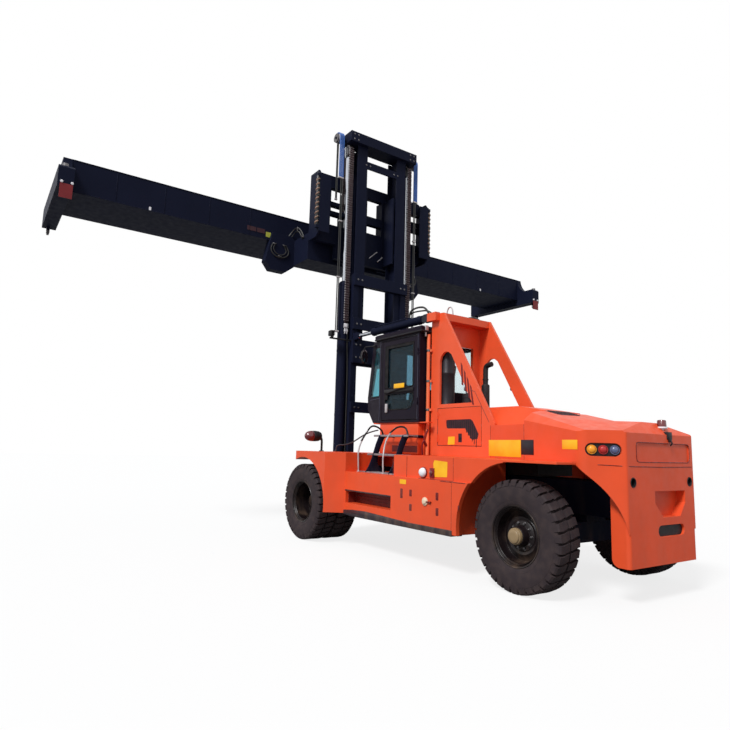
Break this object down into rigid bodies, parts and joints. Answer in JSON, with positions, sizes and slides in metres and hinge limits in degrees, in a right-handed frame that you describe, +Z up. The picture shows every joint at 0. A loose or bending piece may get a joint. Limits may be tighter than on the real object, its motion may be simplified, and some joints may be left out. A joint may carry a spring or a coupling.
{
  "type": "container forklift truck",
  "caption": "Counterbalance forklift with raised two-stage mast, wide container spreader, glazed cab, A-frame behind it and dual drive wheels.",
  "frame": {"origin": "on the ground, under the middle of the whole machine's bounding box", "axes": "+X forward toward the spreader, +Y to the truck's left along the spreader beam, +Z up; wheels rest on Z = 0"},
  "size_m": [9.13, 12.2, 8.304],
  "materials": {
    "orange_paint": "satin",
    "dark_paint": "satin",
    "cab_paint": "gloss",
    "dark_red_paint": "satin",
    "grey_paint": "satin",
    "cap_paint": "satin",
    "chrome": "polished",
    "steel": "satin",
    "cast": "matt",
    "tyre": "matt",
    "hose_blue": "satin",
    "hose_black": "satin",
    "plastic": "matt",
    "seat_fabric": "matt",
    "glass": "clear",
    "red_lens": "gloss",
    "amber_lens": "gloss"
  },
  "bodies": {
    "chassis": {"air_cleaner": "plastic", "beacon": "amber_lens", "cab_glass": "glass", "cab_pedestal": "dark_red_paint", "cab_shell": "cab_paint", "cab_steps": "dark_paint", "chassis_frame": "dark_paint", "counterweight": "orange_paint", "drive_axle": "dark_paint", "engine_block": "grey_paint", "engine_hood": "orange_paint", "exhaust_stack": "cast", "fender_lamps": "plastic", "front_fenders": "orange_paint", "gantry_frame": "orange_paint", "gantry_pipe": "orange_paint", "mirror": "plastic", "operator_seat": "seat_fabric", "rear_lamps": "red_lens", "side_boxes": "orange_paint", "steer_axle": "dark_paint", "steering_console": "plastic"},
    "cab_door": {"cab_door": "cab_paint", "door_glass": "glass"},
    "outer_mast": {"outer_mast": "dark_paint", "lift_cylinder_barrels": "dark_paint", "mast_work_lamps": "plastic"},
    "inner_mast": {"inner_mast": "dark_paint", "lift_rods": "chrome", "mast_wheels": "steel", "lift_chains": "steel", "mast_hoses": "hose_blue"},
    "carriage": {"carriage": "dark_paint", "carriage_cable": "hose_black"},
    "spreader": {"spreader_beam": "dark_paint", "spreader_frame": "dark_paint", "end_beams": "dark_paint", "end_reflectors": "red_lens"},
    "drive_wheels_left": {"drive_tyres_left": "tyre", "drive_rims_left": "dark_red_paint"},
    "steer_knuckle_left": {"steer_knuckle_left": "cast"},
    "steer_wheel_left": {"steer_tyre_left": "tyre", "steer_rim_left": "dark_red_paint", "steer_hub_cap_left": "cap_paint"},
    "service_door_left": {"service_door_left": "orange_paint"},
    "tilt_barrel_left": {"tilt_barrel_left": "dark_paint"},
    "tilt_rod_left": {"tilt_rod_left": "chrome"},
    "drive_wheels_right": {"drive_tyres_right": "tyre", "drive_rims_right": "dark_red_paint"},
    "steer_knuckle_right": {"steer_knuckle_right": "cast"},
    "steer_wheel_right": {"steer_tyre_right": "tyre", "steer_rim_right": "dark_red_paint", "steer_hub_cap_right": "cap_paint"},
    "service_door_right": {"service_door_right": "orange_paint"},
    "tilt_barrel_right": {"tilt_barrel_right": "dark_paint"},
    "tilt_rod_right": {"tilt_rod_right": "chrome"},
    "twistlock_rear_left": {"twistlock_rear_left": "steel"},
    "twistlock_rear_right": {"twistlock_rear_right": "steel"},
    "twistlock_front_left": {"twistlock_front_left": "steel"},
    "twistlock_front_right": {"twistlock_front_right": "steel"}
  },
  "joints": [
    {"name": "mast_tilt", "type": "hinge", "parent": "chassis", "child": "outer_mast", "pos_m": [1.115, 0, 0.67], "axis": [0, 1, 0], "range_deg": [-6, 4]},
    {"name": "mast_lift", "type": "slide", "parent": "outer_mast", "child": "inner_mast", "axis": [0, 0, 1], "range_m": [-2.35, 0]},
    {"name": "carriage_lift", "type": "slide", "parent": "inner_mast", "child": "carriage", "axis": [0, 0, 1], "range_m": [-2.35, 0]},
    {"name": "side_shift", "type": "slide", "parent": "carriage", "child": "spreader", "axis": [0, 1, 0], "range_m": [-0.4, 0.4]},
    {"name": "cab_door_hinge", "type": "hinge", "parent": "chassis", "child": "cab_door", "pos_m": [-0.875, 0.762, 2.88], "axis": [0, 0, 1], "range_deg": [0, 85]},
    {"name": "drive_spin_left", "type": "hinge", "parent": "chassis", "child": "drive_wheels_left", "pos_m": [1.115, 1.3985, 0.67], "axis": [0, 1, 0], "continuous": true},
    {"name": "steer_left", "type": "hinge", "parent": "chassis", "child": "steer_knuckle_left", "pos_m": [-3.485, 0.85, 0.67], "axis": [0, 0, 1], "range_deg": [-60, 60]},
    {"name": "steer_spin_left", "type": "hinge", "parent": "steer_knuckle_left", "child": "steer_wheel_left", "pos_m": [-3.485, 1.1945, 0.67], "axis": [0, 1, 0], "continuous": true},
    {"name": "service_door_hinge_left", "type": "hinge", "parent": "chassis", "child": "service_door_left", "pos_m": [-1.1725, 0.567, 2.04], "axis": [0, 0, -1], "range_deg": [0, 50]},
    {"name": "tilt_barrel_pin_left", "type": "hinge", "parent": "chassis", "child": "tilt_barrel_left", "pos_m": [-0.895, 0.61, 3.88], "axis": [0, 1, 0], "range_deg": [-1, 1]},
    {"name": "tilt_rod_slide_left", "type": "slide", "parent": "tilt_barrel_left", "child": "tilt_rod_left", "axis": [1, 0, 0], "range_m": [-0.34, 0.23]},
    {"name": "drive_spin_right", "type": "hinge", "parent": "chassis", "child": "drive_wheels_right", "pos_m": [1.115, -1.3985, 0.67], "axis": [0, 1, 0], "continuous": true},
    {"name": "steer_right", "type": "hinge", "parent": "chassis", "child": "steer_knuckle_right", "pos_m": [-3.485, -0.85, 0.67], "axis": [0, 0, 1], "range_deg": [-60, 60]},
    {"name": "steer_spin_right", "type": "hinge", "parent": "steer_knuckle_right", "child": "steer_wheel_right", "pos_m": [-3.485, -1.1945, 0.67], "axis": [0, 1, 0], "continuous": true},
    {"name": "service_door_hinge_right", "type": "hinge", "parent": "chassis", "child": "service_door_right", "pos_m": [-1.1725, -0.567, 2.04], "axis": [0, 0, 1], "range_deg": [0, 50]},
    {"name": "tilt_barrel_pin_right", "type": "hinge", "parent": "chassis", "child": "tilt_barrel_right", "pos_m": [-0.895, -0.61, 3.88], "axis": [0, 1, 0], "range_deg": [-1, 1]},
    {"name": "tilt_rod_slide_right", "type": "slide", "parent": "tilt_barrel_right", "child": "tilt_rod_right", "axis": [1, 0, 0], "range_m": [-0.34, 0.23]},
    {"name": "twistlock_turn_rear_left", "type": "hinge", "parent": "spreader", "child": "twistlock_rear_left", "pos_m": [2.215, 5.9925, 6], "axis": [0, 0, 1], "range_deg": [0, 90]},
    {"name": "twistlock_turn_rear_right", "type": "hinge", "parent": "spreader", "child": "twistlock_rear_right", "pos_m": [2.215, -5.9925, 6], "axis": [0, 0, 1], "range_deg": [0, 90]},
    {"name": "twistlock_turn_front_left", "type": "hinge", "parent": "spreader", "child": "twistlock_front_left", "pos_m": [4.474, 5.9925, 6], "axis": [0, 0, 1], "range_deg": [0, 90]},
    {"name": "twistlock_turn_front_right", "type": "hinge", "parent": "spreader", "child": "twistlock_front_right", "pos_m": [4.474, -5.9925, 6], "axis": [0, 0, 1], "range_deg": [0, 90]}
  ],
  "couplings": [
    {"joint": "carriage_lift", "follows": "mast_lift", "ratio": 1},
    {"joint": "steer_right", "follows": "steer_left", "ratio": 1},
    {"joint": "tilt_barrel_pin_left", "follows": "mast_tilt", "ratio": 0.012},
    {"joint": "tilt_rod_slide_left", "follows": "mast_tilt", "m_per_rad": 3.204},
    {"joint": "tilt_barrel_pin_right", "follows": "mast_tilt", "ratio": 0.012},
    {"joint": "tilt_rod_slide_right", "follows": "mast_tilt", "m_per_rad": 3.204},
    {"joint": "twistlock_turn_rear_right", "follows": "twistlock_turn_rear_left", "ratio": 1},
    {"joint": "twistlock_turn_front_left", "follows": "twistlock_turn_rear_left", "ratio": 1},
    {"joint": "twistlock_turn_front_right", "follows": "twistlock_turn_rear_left", "ratio": 1}
  ]
}
